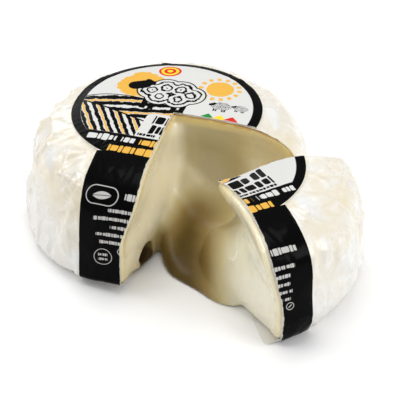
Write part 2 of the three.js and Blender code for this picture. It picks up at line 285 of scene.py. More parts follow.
def combine(piece, other, operation):
    """A Boolean with another closed object, which is used up."""
    cut = piece.modifiers.new("combine", "BOOLEAN")
    cut.operation, cut.object, cut.solver = operation, other, "MANIFOLD"
    settle(piece)
    bpy.data.objects.remove(other)


def coordinates(piece):
    """The vertices of a piece as an array, in millimetres."""
    co = np.empty(len(piece.data.vertices) * 3, np.float32)
    piece.data.vertices.foreach_get("co", co)
    return co.reshape(-1, 3).astype(float) / MM


def say(piece):
    """Prints how many triangles a piece has, and its box in millimetres."""
    piece.data.calc_loop_triangles()
    co = coordinates(piece)
    edges = bmesh.new()
    edges.from_mesh(piece.data)
    loose = sum(not edge.is_manifold for edge in edges.edges)
    edges.free()
    print(f"{piece.name}: {len(piece.data.loop_triangles)} triangles, open edges {loose}, box",
          np.round(co.min(0), 1), np.round(co.max(0), 1))


def noise(points, size, seed):
    """Gradient noise from about -1 to 1: random slopes at the corners of cubes of that size, blended by a
    smooth step inside each cube."""
    rng = np.random.default_rng(seed)
    order = rng.permutation(256)
    slopes = unit(rng.normal(size=(256, 3)))
    at = points / size
    cell = np.floor(at).astype(int)
    part = at - cell
    ease = part ** 3 * (part * (part * 6 - 15) + 10)
    total = np.zeros(points.shape[:-1])
    for corner in itertools.product((0, 1), repeat=3):
        x, y, z = np.moveaxis((cell + corner) & 255, -1, 0)
        slope = slopes[order[(order[(order[x] + y) & 255] + z) & 255]]
        weight = np.where(corner, ease, 1 - ease).prod(-1)
        total += weight * ((part - corner) * slope).sum(-1)
    return total * 1.7


print("noise runs from", np.round(noise(np.random.default_rng(1).uniform(0, 99, (5000, 3)), 7, 2).min(), 2))

# %% [markdown]
# ## How the paste has moved
#
# A ripe cheese of this kind is a firm rind round a paste that runs like thick cream. Once it is cut, the
# paste sinks in below the rind and bulges out at the foot. Each cut face is therefore a flat grid whose
# points are pushed along the face's normal by a few bell-shaped hills and hollows. The first five
# millimetres under the rind stay where they are, and there the hollow begins with a small step.

# %% Hills and hollows of the cut faces


def hollow(depth):
    """How far the paste is free to move, from 0 at the rind to 1 deep inside, with a step near 5 mm."""
    return 0.3 * smooth(depth, 4.2, 6.6) + 0.7 * smooth(depth, 4, 13)


def sag_wheel_left(r, z, depth):
    """Hollow under the rind, and lower down a swelling that leads into the mound."""
    inside = -3 * bell(z - 46, 11) * bell(r - 20, 26) + 5.5 * bell(z - 19, 15) * bell(r - 34, 29)
    return hollow(depth) * inside + 2.8 * bell(z, 9) * smooth(62 - r, 0, 22)


def sag_wheel_right(r, z, depth):
    """A deep hollow under the rind and a low swelling over the foot."""
    folds = 1.0 * np.sin(r / 6.5 + z / 30) * bell(z - 26, 20) * smooth(r, 14, 26)
    inside = -5 * bell(z - 38, 15) + 5 * bell(z - 6, 12) + folds
    return hollow(depth) * inside + 4 * bell(z, 7) * smooth(66 - r, 0, 20)


def sag_quarter_left(r, z, depth):
    """A hollow under the tip. Below it the belly of the mound stands out of this face."""
    inside = -9 * bell(z - 38, 9) * bell(r - 8, 26) + 8 * bell(z - 15, 14) * bell(r - 31, 23)
    return hollow(depth) * inside + 3 * bell(z, 12) * bell(r - 20, 22) * smooth(depth, 0, 9)


def sag_quarter_right(r, z, depth):
    """A hollow under the rind and a rounded foot."""
    return hollow(depth) * -5 * bell(z - 36, 14) * bell(r, 34) + 6 * bell(z - 5, 11) * smooth(46 - r, 0, 20)


def tip_sag_wheel(z, depth):
    """The same for the upright edge in the corner of the cut."""
    return hollow(depth) * (4 - 2 * bell(z - 44, 10) + 7 * bell(z - 6, 16)) + 3 * bell(z, 8)


def tip_sag_quarter(z, depth):
    """The same for the quarter's own tip, which hangs over the belly."""
    return hollow(depth) * -8 * bell(z - 37, 11) + 6 * bell(z - 5, 16) * smooth(depth, 0, 9)


print("left face swells at its fullest by", round(float(sag_wheel_left(26.0, 22.0, 20.0)), 1), "mm")

# %% [markdown]
# ## The wheel and the quarter as closed solids
#
# Each is four grids that share their borders: the rind from one cut round to the other, the two sagging cut
# faces and a base that fans out from one point. The rind lies under the film, so away from the cuts it is
# kept a little lower, which leaves the film room to crinkle.

# %% Grids of a sector
RIND_ROWS, FACE_COLUMNS, RIND_STEP = 90, 70, rad(1.4)
TIP_REACH = 17
BASE_LEVEL = 0.5
FILM_ROOM = 1.2          # mm by which the rind is lower away from the cuts


def bearings(form, span, z, columns):
    """A grid of bearings: at each height spread evenly from the first cut's bearing to the second's."""
    first, last = (cut_bearing(form, cut, z) for cut in span)
    return lerp(first, last, np.linspace(0, 1, columns)[:, None])


def cut_face(form, cut, side, sag, tip_sag, line, edge):
    """Points from the tip to the rind, pushed out by sag along the face's normal, and near the tip by
    tip_sag along the line between the two faces."""
    t = np.linspace(0, 1, FACE_COLUMNS)[:, None]
    r = line.r * t
    z = lerp(form.height * (1 - np.linspace(0, 1, len(line.r))), line.z, t)
    depth = depth_under_rind(form, r, z).reshape(r.shape)
    bearing = cut_bearing(form, cut, z)
    normal = np.stack([-np.sin(bearing) * side, np.cos(bearing) * side, 0 * z], -1)
    near_tip = (1 - smooth(r, 0, TIP_REACH))[..., None]
    middle = (form.left[0] + form.right[0]) / 2 + form.tip_lean + (0 if form is WHEEL else np.pi)
    out = np.array([np.cos(middle), np.sin(middle), 0])
    points = (place(form, bearing, r, z) + normal * sag(r, z, depth)[..., None] * (1 - near_tip)
              + out * tip_sag(z, depth)[..., None] * near_tip)
    points[-1], points[:, 0] = edge, edge[0]
    return points


def sector(form, span, sags, tip_sag, centre):
    """The four grids of a sector. Centre is the point of the base from which its outline is in sight."""
    line = section(form, RIND_ROWS)
    columns = int((span[1][0] - span[0][0]) / RIND_STEP)
    bearing = bearings(form, span, line.z, columns)
    to_cut = np.minimum(bearing - bearing[0], bearing[-1] - bearing) * line.r
    lower = -FILM_ROOM * smooth(to_cut, 3, 9)
    rind = place(form, bearing, line.r + line.nr * lower, np.maximum(0, line.z + line.nz * lower))
    first = cut_face(form, span[0], -1, sags[0], tip_sag, line, rind[0])
    last = cut_face(form, span[1], 1, sags[1], tip_sag, line, rind[-1])
    outline = np.concatenate([rind[:, -1], last[-2::-1, -1], first[1:, -1]])
    base = np.stack([outline, np.broadcast_to([*centre, 0], outline.shape)], 1)
    for grid in (rind, first, last, base):
        grid[..., 2] = np.maximum(grid[..., 2], BASE_LEVEL)
    return [rind, first, last[::-1], base]


whole = WHEEL.left[0] + WHOLE_TURN, WHEEL.left[1] + WHOLE_TURN
WHEEL_SPAN = (WHEEL.right, whole)
QUARTER_SPAN = (QUARTER.left, QUARTER.right)
into_cut = (WHEEL.left[0] + WHEEL.right[0]) / 2
into_cut = np.array([np.cos(into_cut), np.sin(into_cut)])
wheel_grids = sector(WHEEL, WHEEL_SPAN, (sag_wheel_right, sag_wheel_left), tip_sag_wheel, -12 * into_cut)
quarter_grids = sector(QUARTER, QUARTER_SPAN, (sag_quarter_left, sag_quarter_right), tip_sag_quarter, 40 * into_cut)
paste = object_of_grids("cheese_paste", wheel_grids)
quarter_block = object_of_grids("quarter_block", [moved(grid) for grid in quarter_grids])
say(paste)
say(quarter_block)

# %% [markdown]
# ## The mound between them
#
# The paste that ran out lies in a low mound with a rounded rope along its open edge, and it climbs into the
# corner of the cut. Seen from above it is a smooth closed curve through a few points. Rays run from one
# point inside it to that curve, and a height is given along each ray.

# %% Grid of the mound
MOUND_OUTLINE = np.array([[-7.2, -35.5], [-6.4, -42.5], [-4.9, -50.2], [-1.2, -57.5], [4.6, -63.3], [10.4, -69],
                          [15.6, -74.8], [20.8, -79.4], [26.4, -81.9], [31.3, -80.6], [37, -71], [48, -62], [50, -44],
                          [53, -31], [46, -15], [28, -4], [6, 8], [-12, -4], [-11.5, -26]])
MOUND_CENTRE = np.array([16, -42])
MOUND_FLOOR, ROPE = 4.5, 8.5
SKIRT = SimpleNamespace(height=17, reach=13)
BANK = SimpleNamespace(height=15, reach=10)
BELLY = SimpleNamespace(along=15, near=21, far=27, proud=13.8, level=6, height=22)


def closed_curve(points, count):
    """Points on the smooth closed curve through the given ones: between two neighbours it is the cubic whose
    slope at each is half the step between that point's own neighbours."""
    before, after, next_but_one = (np.roll(points, shift, 0) for shift in (1, -1, -2))
    t = (np.arange(count) * len(points) / count)[:, None]
    i = t.astype(int)[:, 0]
    t = t - i[:, None]
    a, b, c, d = before[i], points[i], after[i], next_but_one[i]
    return b + 0.5 * t * (c - a + t * (2 * a - 5 * b + 4 * c - d + t * (3 * (b - c) + d - a)))


def from_plane(flat, tip, bearing):
    """Distances of plan points from an upright plane through the tip, left of its bearing, and along it."""
    c, s = np.cos(bearing), np.sin(bearing)
    x, y = flat[..., 0] - tip[0], flat[..., 1] - tip[1]
    return y * c - x * s, x * c + y * s


def mound_height(flat):
    """The height over each plan point: a floor, a skirt that climbs the wheel's left face, a bank against the
    right one, and where it is higher than these the belly, a lopsided ellipsoid on the quarter's left face."""
    off_left = from_plane(flat, WHEEL.tip, WHEEL.left[1])[0]
    off_right = -from_plane(flat, WHEEL.tip, WHEEL.right[1])[0]
    low = (MOUND_FLOOR + SKIRT.height * bell(np.maximum(off_left, 0), SKIRT.reach)
           + BANK.height * bell(np.maximum(off_right, 0), BANK.reach))
    out, along = from_plane(flat, QUARTER_TIP, QUARTER.left[1] + QUARTER_TURN)
    out, along = -out, along - BELLY.along
    off_middle = np.where(along < 0, np.abs(along / BELLY.near) ** 2, np.abs(along / BELLY.far) ** 4)
    round_off = np.maximum(0, 1 - np.maximum(out / BELLY.proud, 0) ** 2.4 - off_middle)
    dome = BELLY.level * smooth(round_off, 0, 0.05) + BELLY.height * round_off ** 0.6
    belly = dome * smooth(out, -26, -10) + 0.35 * np.clip(-out, 0, 8) * np.sign(round_off)
    return (low ** 5 + belly ** 5) ** 0.2


def mound_grid(around=220, across=60):
    """Rays from the centre to the outline. Over the last millimetres the height falls to the table by a
    quarter of an ellipse, which makes the rounded rope."""
    edge = closed_curve(MOUND_OUTLINE, around)
    edge = np.concatenate([edge, edge[:1]])[:, None]
    share = np.sin(np.pi / 2 * np.linspace(0, 1, across))[:, None]
    flat = lerp(MOUND_CENTRE, edge, share)
    to_edge = (1 - share[..., 0]) * np.hypot(*(edge - MOUND_CENTRE)[..., 0, :].T)[:, None]
    rim = np.maximum(0, 1 - to_edge / ROPE)
    height = mound_height(flat) * np.sqrt(np.maximum(0, 1 - rim ** 2))
    return np.concatenate([flat, height[..., None]], -1)


mound_top = mound_grid()
mound_base = np.stack([mound_top[:, -1], np.broadcast_to([*MOUND_CENTRE, 0], (len(mound_top), 3))], 1)
mound = object_of_grids("mound", [mound_top, mound_base])
say(mound)

# %% [markdown]
# ## One body of paste
#
# The three solids are joined by Booleans, and a small egg shape is taken out where the paste has drawn away
# from the foot of the wheel. A voxel Remesh then lays one even skin over everything, and smoothing turns the
# creases between the parts into the round necks that a runny paste makes.

# %% Join, remesh and smooth the paste
CAVE = SimpleNamespace(along=47.0, half_width=6.3, half_height=5.4, level=8.2, depth=6.5, out=1.5)
VOXEL = 1.0              # in mm
NECK_ROUNDS, CORNER_ROUNDS, LAST_ROUNDS = 34, 60, 5   # how often each zone is smoothed


def cave_grid(columns=48, rows=32):
    """An ellipsoid a little above the table, turned to stand in the wheel's left cut face."""
    turn = np.linspace(0, WHOLE_TURN, columns)[:, None]
    dip = np.linspace(0, np.pi, rows)
    x = CAVE.half_width * np.sin(dip) * np.cos(turn) + CAVE.along
    y = CAVE.depth * np.sin(dip) * np.sin(turn) + CAVE.out
    c, s = np.cos(WHEEL.left[1]), np.sin(WHEEL.left[1])
    return np.stack([x * c - y * s, x * s + y * c, CAVE.half_height * np.cos(dip) + CAVE.level + 0 * turn], -1)


combine(paste, object_of_grids("cave", [cave_grid()]), "DIFFERENCE")
combine(paste, quarter_block, "UNION")
combine(paste, mound, "UNION")
say(paste)
skin = paste.modifiers.new("even skin", "REMESH")
skin.mode, skin.voxel_size = "VOXEL", VOXEL * MM
settle(paste)


def into_open(points):
    """How far a point stands out of the wheel's cut faces into the open sector: the lesser of its distances
    from the two cut planes, and below 0 inside the wheel."""
    bearing, r, z = locate(WHEEL, points)
    left, right = (cut_bearing(WHEEL, cut, z) for cut in (WHEEL.left, WHEEL.right))
    return np.minimum(r * np.sin(bearing - left), r * np.sin(right - bearing))


def out_of_quarter(points):
    """How far a point stands out of the quarter's cut faces, in its own frame, and below 0 inside it."""
    bearing, r, z = locate(QUARTER, moved(points, back=True))
    left, right = (cut_bearing(QUARTER, cut, z) for cut in (QUARTER.left, QUARTER.right))
    behind = np.where(np.cos(bearing - (left + right) / 2) < 0, r, -1e3)
    return np.maximum(np.maximum(r * np.sin(left - bearing), r * np.sin(bearing - right)), behind)


at = coordinates(paste)
neck = smooth(into_open(at), -6, 2) * (1 - smooth(at[:, 2], 18, 32))
bearing, r, z = locate(WHEEL, at)
corner = ((1 - smooth(np.hypot(*(at[:, :2] - WHEEL.tip).T), 8, 20)) * smooth(into_open(at), -6, 0)
          * smooth(depth_under_rind(WHEEL, r, z), 4, 9))
for name, share, rounds in (("neck", neck, NECK_ROUNDS), ("corner", corner, CORNER_ROUNDS)):
    group = paste.vertex_groups.new(name=name)
    for level in range(1, 11):
        chosen = np.flatnonzero(np.round(share * 10) == level)
        group.add(chosen.tolist(), level / 10, "REPLACE")
    rounding = paste.modifiers.new(name, "SMOOTH")
    rounding.factor, rounding.iterations, rounding.vertex_group = 0.5, rounds, name
overall = paste.modifiers.new("overall", "SMOOTH")
overall.factor, overall.iterations = 0.5, LAST_ROUNDS
settle(paste)
say(paste)

# %% [markdown]
# ## The label's own plane
#
# The label was printed flat, as a round face with a strip, and then laid over the crown and down the side.
# To cut it out and to print on it, each point of the skin gets two numbers in millimetres: how far it lies
# across the label from the middle line, and how far down from the face's middle. On the crown these are
# plain distances seen from above. On the side, where a view from above shows nothing, the length along the
# outline takes over.

# %% Label coordinates
FACE_CENTRE = np.array([-1.3, 6.3])
FACE_RADIUS, STRIP_HALF = 48.6, 20.9
STRIP_BEARING = rad(-110.2)
down_label = np.array([np.cos(STRIP_BEARING), np.sin(STRIP_BEARING)])
across_label = np.array([-down_label[1], down_label[0]])


def label_plane(line, bearing, points):
    """Across and down the label: the two components seen from above, and to the second is added how much
    longer the way along the outline is than the distance from the axis."""
    flat = points[..., :2] - FACE_CENTRE
    spare = (line.length - line.r) * np.cos(bearing - STRIP_BEARING)
    return np.stack([flat @ across_label, flat @ down_label + spare], -1)


def off_label(plane):
    """Distance outside the label's outline, below 0 inside it: the lesser of that to the disc and that to
    the strip."""
    across, down = plane[..., 0], plane[..., 1]
    return np.minimum(np.hypot(across, down) - FACE_RADIUS, np.maximum(np.abs(across) - STRIP_HALF, -down))


print("strip runs towards", np.round(down_label, 3))

# %% [markdown]
# ## The film
#
# Thin film that has been pulled tight round a soft body is a patchwork of smooth facets with sharp creases
# between them. The facets come from many shallow, tilted bowls, of which only the lowest counts at each
# point, so two bowls meet in a ridge. Over them lie single creases, each a ridge with two flat sides, highest
# in its middle and gone at its ends. A few hundred are strewn over the sheet in families: short pleats that
# run out from the label, crumples below the shoulder, long ones on the side and small ones at the foot. Under
# the label, which is stiffer, everything is much lower.

# %% Sheets over the rind
UV_SCALE = 100           # mm on the label for one unit of its uv layers
SHEET_RADIUS = 74        # mm of sheet for one radian of bearing
CREASED_LENGTH = 354     # mm of sheet that the counts of creases are for
CREASES = (  # how many, where along the outline, lean, half length, half width and height, in mm
    (100, (46, 78), 0.5, (7, 17), (1.2, 2.4), (0.15, 0.45)),
    (90, (70, 98), 1.57, (6, 15), (1.2, 2.6), (0.3, 0.8)),
    (70, (80, 126), 0.6, (10, 26), (1.4, 3.4), (0.3, 0.8)),
    (70, (54, 124), 1.57, (12, 30), (1.4, 3.4), (0.3, 0.8)),
    (90, (110, 134), 1.57, (4, 10), (1.2, 2.8), (0.4, 1.0)))
BOWLS = SimpleNamespace(step=1.5, beyond=12, reach=45, down=(20, 145), half_length=(12, 24), half_width=(6, 9),
                        rise=(-0.5, 0.3), tilt=(0.06, 0.12))
CORNER_ACROSS, CORNER_DOWN = 21.5, 45   # where the label's face meets its strip, on the label in mm
WRAPPED_WHEEL = SimpleNamespace(form=WHEEL, span=WHEEL_SPAN, columns=350, line=section(WHEEL, 118, hem=9))
WRAPPED_QUARTER = SimpleNamespace(form=QUARTER, span=QUARTER_SPAN, columns=120, line=section(QUARTER, 122, hem=30))


def columns_near(along, s, reach):
    """Which columns of a sheet lie within reach of a place along it."""
    return slice(*np.searchsorted(along[:, along.shape[1] // 2], (s - reach, s + reach)))


def strewn(along, down, low, high, seed):
    """Height of all creases at places along the sheet and down its outline, in mm. Each family is spread
    from a low to a high place along it, and every third crease is a valley."""
    rng = np.random.default_rng(seed)
    height = np.zeros(np.broadcast(along, down).shape)
    for count, span, lean, *limits in CREASES:
        count = int(count * (high - low) / CREASED_LENGTH)
        middle = np.stack([rng.uniform(low, high, count), rng.uniform(*span, count)], -1)
        lean = rng.uniform(-lean, lean, count)
        long, wide, high_mm = (rng.uniform(*limit, count) for limit in limits)
        high_mm *= np.where(np.arange(count) % 3, 1, -1)
        for (s, l), c, n, reach, half, rise in zip(middle, np.cos(lean), np.sin(lean), long, wide, high_mm):
            near = columns_near(along, s, reach + half)
            du, dv = along[near] - s, down[near] - l
            taper = np.maximum(0, 1 - ((dv * c + du * n) / reach) ** 2)
            height[near] += rise * taper * np.maximum(0, 1 - np.abs(du * c - dv * n) / half)
    return height


def facets(along, down, low, high, seed):
    """Height of smooth patches that meet in sharp ridges, in mm: the least of many shallow bowls. A bowl is a
    tilted plane plus the squares of the distances from its middle, over its half length and half width."""
    rng = np.random.default_rng(seed)
    least = np.full(np.broadcast(along, down).shape, 9.0)
    for s in np.arange(low - BOWLS.beyond, high + BOWLS.beyond, BOWLS.step):
        l, turn = rng.uniform(*BOWLS.down), rng.uniform(0, np.pi)
        long, wide, rise = (rng.uniform(*limits) for limits in (BOWLS.half_length, BOWLS.half_width, BOWLS.rise))
        near = columns_near(along, s, BOWLS.reach)
        du, dv = along[near] - s, down[near] - l
        u, v = du * np.cos(turn) + dv * np.sin(turn), dv * np.cos(turn) - du * np.sin(turn)
        tilt = rng.normal(0, BOWLS.tilt[0]) * u + rng.normal(0, BOWLS.tilt[1]) * v
        least[near] = np.minimum(least[near], rise + tilt + (u / long) ** 2 + (v / wide) ** 2)
    return least


def fans(plane):
    """Creases that spread from the two corners where the label's face meets its strip."""
    height = 0
    for side, seed in ((-1, 51), (1, 52)):
        across, down = plane[..., 0] - side * CORNER_ACROSS, plane[..., 1] - CORNER_DOWN
        turn, far = np.arctan2(across * side, down), np.hypot(across, down)
        ridge = np.abs((turn * 4.5 + 0.4 * noise(np.stack([across, down, 0 * down], -1), 9, seed)) % 2 - 1)
        height = height + 0.9 * (ridge - 0.4) * smooth(far, 0.5, 5) * (1 - smooth(far, 11, 30))
    return height


def folds(at, bearing, line, plane, ends):
    """Height of the whole relief in mm: slow swells, facets, strewn creases and fans, much lower under the
    label. Noise bends the ways along and down the sheet, so that no crease is quite straight."""
    bent = at + 4 * np.stack([noise(at, 17, seed) for seed in (11, 12, 13)], -1)
    swell = 0.5 * noise(bent, 30, 21) + 0.15 * noise(bent, 11, 22)
    along = bearing * SHEET_RADIUS + 2.2 * noise(at, 15, 26)
    down = line.length + 2.2 * noise(at, 15, 27)
    creased = strewn(along, down, *ends, 28)
    flat = np.minimum(facets(along, down, *ends, 29), 1.8) - 0.2
    flat = flat * smooth(down, 36, 60) * smooth(at[..., 2], 1, 5)
    height = np.clip(swell + flat + creased + fans(plane) * smooth(at[..., 2], 1, 6), -0.8, 3.0)
    return (height - 0.1) * lerp(0.22, 1, smooth(off_label(plane), -2.0, 2.5))


def ragged(back, rough, seed):
    """How far a cut edge of a sheet has drawn back from the cut, along the outline: an even amount with
    coarse and fine noise, and nothing at the tip."""
    def trim(line):
        at = np.stack([line.length, 0 * line.length, 0 * line.length], -1) + 0.5
        wander = noise(at, 9, seed) + 0.7 * noise(at, 2.6, seed + 1)
        even = back(line) if callable(back) else back + 0 * line.r
        return even * smooth(line.r, 0, 8) + rough * wander * smooth(line.r, 0, 5)
    return trim


def shell(outer, inner):
    """The five grids of a closed shell: outside, inside, and the strips along its foot and its two cuts."""
    return [outer, inner[::-1], np.stack([outer[:, -1], inner[:, -1]], 1), np.stack([inner[0], outer[0]]),
            np.stack([outer[-1], inner[-1]])]


def sheet(name, body, line, trims, clearances, lowest):
    """A closed thin shell over the rind, made of an outer and an inner grid that follow the same folds. Its uv
    layers hold the label coordinates and the distance to the cuts."""
    first, last = (cut_bearing(body.form, cut, line.z) + side * trim(line) / np.maximum(line.r, 1)
                   for cut, trim, side in zip(body.span, trims, (1, -1)))
    bearing = lerp(first, last, np.linspace(0, 1, body.columns)[:, None])
    at = place(body.form, bearing, line.r, line.z)
    plane = label_plane(line, bearing, at)
    rise = folds(at, bearing, line, plane, [cut[0] * SHEET_RADIUS for cut in body.span])
    to_cut = np.minimum(bearing - first, last - bearing) * line.r
    rise = np.maximum(rise, -0.5 - 0.3 * smooth(to_cut, 3, 9))
    outer, inner = (place(body.form, bearing, line.r + line.nr * (out + rise),
                          np.maximum(line.z + line.nz * (out + rise), low)) for out, low in zip(clearances, lowest))
    uvs = {"print": plane / UV_SCALE, "edge": np.stack([to_cut, to_cut], -1) / UV_SCALE}
    return object_of_grids(name, shell(outer, inner), {layer: shell(uv, uv) for layer, uv in uvs.items()})


def draw_forward(piece):
    """Moves a piece of the quarter from where it was cut to where it lies."""
    piece.data.vertices.foreach_set("co", (moved(coordinates(piece)) * MM).astype(np.float32).ravel())
    piece.data.update()


LIP_OUT, STRIP_OUT, STRIP_LENGTH = 3.2, 3.2, 26   # in mm


def lip(line):
    """The quarter's film draws back from its left cut at the crown. At the foot it stands out of the cut, as
    a strip on the table that is widest at the corner and tapers off under the paste."""
    foot = line.length[line.z > 0.01].max()
    strip = np.clip(1 - (line.length - foot) / STRIP_LENGTH, 0, 1) * smooth(line.length, foot - 7, foot - 1)
    return lerp(1.3, 2.6, smooth(line.z, 25, 50)) - LIP_OUT * (1 - smooth(line.z, 0.8, 4)) - STRIP_OUT * strip


FILM = (0.6, 0.3), (0.08, 0.3)   # how far the two sides stand off the rind, and their lowest levels, in mm
wheel_film = sheet("wheel_wrapping", WRAPPED_WHEEL, WRAPPED_WHEEL.line,
                   (ragged(0.5, 0.25, 31), ragged(0.5, 0.25, 33)), *FILM)
quarter_film = sheet("quarter_wrapping", WRAPPED_QUARTER, WRAPPED_QUARTER.line,
                     (ragged(lip, 0.5, 35), ragged(0.5, 0.25, 37)), *FILM)
draw_forward(quarter_film)
say(wheel_film)
say(quarter_film)

# %% [markdown]
# ## The label
#
# The label is the same kind of sheet, one paper's thickness further out, so every crease of the film under
# it shows through. Its outline is cut with a Boolean: the shell is intersected with a tall prism that has
# the outline of face and strip, like a pastry cutter pressed down from above.

# %% Cut the labels out of a second sheet
LABEL = (1.2, 0.9), (0.35, 0.6)   # how far its two sides stand off the rind, and their lowest levels, in mm
LABEL_FOOT = 1.2
STRIP_END = 112                   # mm from the face's middle, past the label's foot
CUTTER_TOP, CUTTER_BOTTOM = 110, -30


def cutter():
    """A closed prism over the label's outline: a circle's arc that ends at the strip, then the strip."""
    half = np.arcsin(STRIP_HALF / FACE_RADIUS)
    arc = STRIP_BEARING + np.linspace(half, WHOLE_TURN - half, 180)
    face = FACE_RADIUS * np.stack([np.cos(arc), np.sin(arc)], -1)
    strip = [STRIP_END * down_label + side * STRIP_HALF * across_label for side in (-1, 1)]
    outline = np.concatenate([face, strip, face[:1]]) + FACE_CENTRE
    middle = np.broadcast_to(FACE_CENTRE, outline.shape)
    rows = [(middle, CUTTER_TOP), (outline, CUTTER_TOP), (outline, CUTTER_BOTTOM), (middle, CUTTER_BOTTOM)]
    return np.stack([np.concatenate([flat, np.full((len(flat), 1), z)], -1) for flat, z in rows], 1)


def label(name, body, trims):
    """The label's share of a body: a sheet over the rows above the label's foot, cut to the outline."""
    rows = int(np.argmax((body.line.z < LABEL_FOOT) & (body.line.r > 30)))
    line = SimpleNamespace(**{key: values[:rows] for key, values in vars(body.line).items()})
    piece = sheet(name, body, line, trims, *LABEL)
    combine(piece, object_of_grids("cutter", [cutter()]), "INTERSECT")
    return piece


def band(line):
    """The quarter's label leaves a band of rind bare along its left cut, widest near the crown."""
    return lerp(1.5, 3.0, smooth(line.z, 25, 50))


wheel_label = label("wheel_print", WRAPPED_WHEEL, (ragged(0.7, 0.35, 41), ragged(0.6, 0.35, 43)))
quarter_label = label("quarter_print", WRAPPED_QUARTER, (ragged(band, 0.45, 45), ragged(0.7, 0.3, 47)))
draw_forward(quarter_label)
say(wheel_label)
say(quarter_label)

# %% [markdown]
# ## Where the rind ends, how ripe the paste is, and where shade is painted
#
# Three numbers are stored at every vertex of the paste for its material to read: how deep the point lies
# under the rind, how ripe it is together with painted shade, and where the rim and the outer end of the
# right face, and a little of the left face, are golden. Under the rind lies a pale, firmer band. The paste
# is painted darker where shade falls: in the corner of the cut, low between the cut faces, inside the small
# cave and under the quarter's tip. The ripeness number carries this painted shade.

# %% Store rind depth, ripeness with painted shade, and the golden share on the paste


def store(piece, name, values):
    """Writes one number for each vertex under a name that a material can read."""
    layer = piece.data.attributes.new(name, "FLOAT", "POINT")
    layer.data.foreach_set("value", np.asarray(values, np.float32))


at = coordinates(paste)
bearing, r, z = locate(WHEEL, at)
depth_wheel = depth_under_rind(WHEEL, r, z) + 40 * smooth(into_open(at), 5, 9)
depth_quarter = depth_under_rind(QUARTER, *locate(QUARTER, moved(at, back=True))[1:])
depth_quarter += 40 * smooth(out_of_quarter(at), 6, 10)
rind_depth = np.minimum(depth_wheel, depth_quarter)

off_right = r * np.sin(cut_bearing(WHEEL, WHEEL.right, z) - bearing)
off_left = r * np.sin(bearing - cut_bearing(WHEEL, WHEEL.left, z))
height = at[:, 2]
on_right = (1 - smooth(off_right, 8, 24)) * smooth(out_of_quarter(at), 3, 12)
on_left = 1 - smooth(off_left, 1, 8)
# Painted shade: low down between the wheel's left face and the belly, and near the walls, the paste is painted olive
# and brown, because shade falls in this valley.
softest = (smooth(at[:, 0], -17, -2) * (1 - smooth(at[:, 0], 5, 34))
           * (1 - smooth(height, 6, 24) * (1 - smooth(into_open(at), 14, 26))))
# Ripeness and painted shade together: the paste is lighter above 30 mm and has a bell of painted shade under the
# quarter's overhanging tip. On the right face the olive is partly the paste's own tone and partly painted shade,
# darkest towards the corner. On the left face the paste is darker towards the foot.
ripe = 0.12 - 0.16 * smooth(height, 30, 42) + 0.25 * bell(np.hypot(*(at[:, :2] - (27, -50)).T), 9)
ripe = lerp(ripe, 0.34 - 0.44 * smooth(r, 32, 54), on_right)
ripe = lerp(ripe, 0.2 * (1 - smooth(height, 6, 26)), on_left)
ripe = lerp(ripe, 0.9, softest)
# Painted shade: the inside of the small cave is painted the darkest brown of the ramp, because shade falls in the
# undercut.
along = from_plane(at, (0, 0), WHEEL.left[1])[1]
across, level = (along - CAVE.along) / CAVE.half_width, (height - CAVE.level) / CAVE.half_height
cave = (1 - smooth(np.hypot(across, np.maximum(level, 0)), 0.8, 1.2)) * (1 - smooth(off_left, 5, 9))
rim = 1 - smooth(depth_wheel, 1.5, 7)
golden = (1 - cave) * np.maximum(0.45 * on_left, on_right * np.maximum(rim, 0.7 * smooth(r, 20, 54)))
store(paste, "rind_depth", rind_depth)
store(paste, "ripe", np.clip(np.maximum(ripe, cave), 0, 1))
store(paste, "golden", golden)
print("rind depth from", round(rind_depth.min(), 2), "mm; ripeness from", np.round([ripe.min(), ripe.max()], 2))

# %% [markdown]
# ## Node helpers
#
# Materials are built from small nodes. A first helper adds any node and fills its sockets, a class of numbers
# turns plain operators into Math nodes, and a third makes node groups of such formulas. The first group is
# the crinkle that film and label share.

# %% Helpers for nodes


def node(tree, kind, inputs=None, **settings):
    """Adds a node, and fills its sockets, by name or number, with values, Numbers or other nodes' outputs."""
    made = tree.nodes.new("ShaderNode" + kind)
    for key, value in settings.items():
        setattr(made, key, value)
    for key, value in (inputs or {}).items():
        value = value.socket if isinstance(value, Number) else value
        if isinstance(value, bpy.types.NodeSocket):
            tree.links.new(value, made.inputs[key])
        else:
            made.inputs[key].default_value = value
    return made


def number(tree, kind, output, inputs=None, **settings):
    """Adds a node, and gives one of its outputs as a Number."""
    return Number(tree, node(tree, kind, inputs, **settings).outputs[output])


class Number:
    """A number that nodes work out. Its operators add Math nodes, so that a formula reads like arithmetic."""

    def __init__(self, tree, socket):
        self.tree, self.socket = tree, socket

    def __add__(self, other):
        return calc("ADD", self, other)

    def __sub__(self, other):
        return calc("SUBTRACT", self, other)

    def __rsub__(self, other):
        return calc("SUBTRACT", other, self)

    def __mul__(self, other):
        return calc("MULTIPLY", self, other)

    def __truediv__(self, other):
        return calc("DIVIDE", self, other)

    def __rtruediv__(self, other):
        return calc("DIVIDE", other, self)

    def __mod__(self, other):
        return calc("MODULO", self, other)

    def __abs__(self):
        return calc("ABSOLUTE", self)

    __radd__, __rmul__ = __add__, __mul__


def calc(operation, *values):
    """What a Math node makes of some numbers, of which at least one is a Number."""
    tree = next(value.tree for value in values if isinstance(value, Number))
    return number(tree, "Math", 0, dict(enumerate(values)), operation=operation)


def ramp(value, low, high, to_low=0.0, to_high=1.0):
    """A smooth step of a Number between two limits."""
    inputs = {"Value": value, "From Min": low, "From Max": high, "To Min": to_low, "To Max": to_high}
    return number(value.tree, "MapRange", "Result", inputs, interpolation_type="SMOOTHSTEP")


